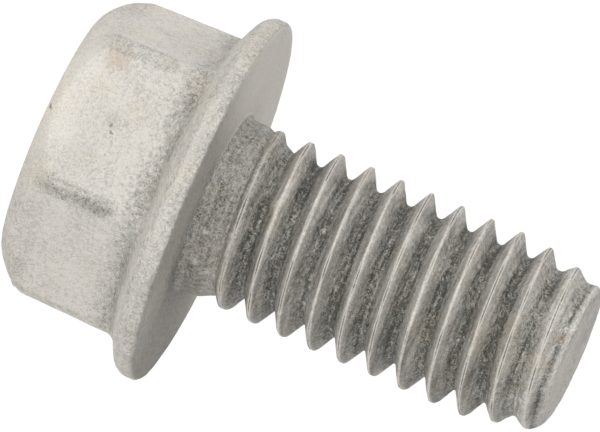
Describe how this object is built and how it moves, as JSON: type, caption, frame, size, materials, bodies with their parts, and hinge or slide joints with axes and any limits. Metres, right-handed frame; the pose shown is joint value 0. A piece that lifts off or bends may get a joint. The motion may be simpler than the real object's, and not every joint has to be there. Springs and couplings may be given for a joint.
{
  "type": "hex flange bolt",
  "caption": "Short hexagon flange bolt with an integral washer face, rounded rim and coarse right-hand thread, zinc coated",
  "frame": {"origin": "centre of the flange's bearing face, on the bolt's axis", "axes": "+Z runs along the bolt's axis from the head to the tip; one pair of hexagon flats faces +Y and -Y"},
  "size_m": [0.0188, 0.0188, 0.0274],
  "materials": {
    "zinc_coated_steel": "matt grey hot-dip zinc coating on forged steel"
  },
  "bodies": {
    "root": {"flange_bolt": "zinc_coated_steel"}
  },
  "joints": []
}
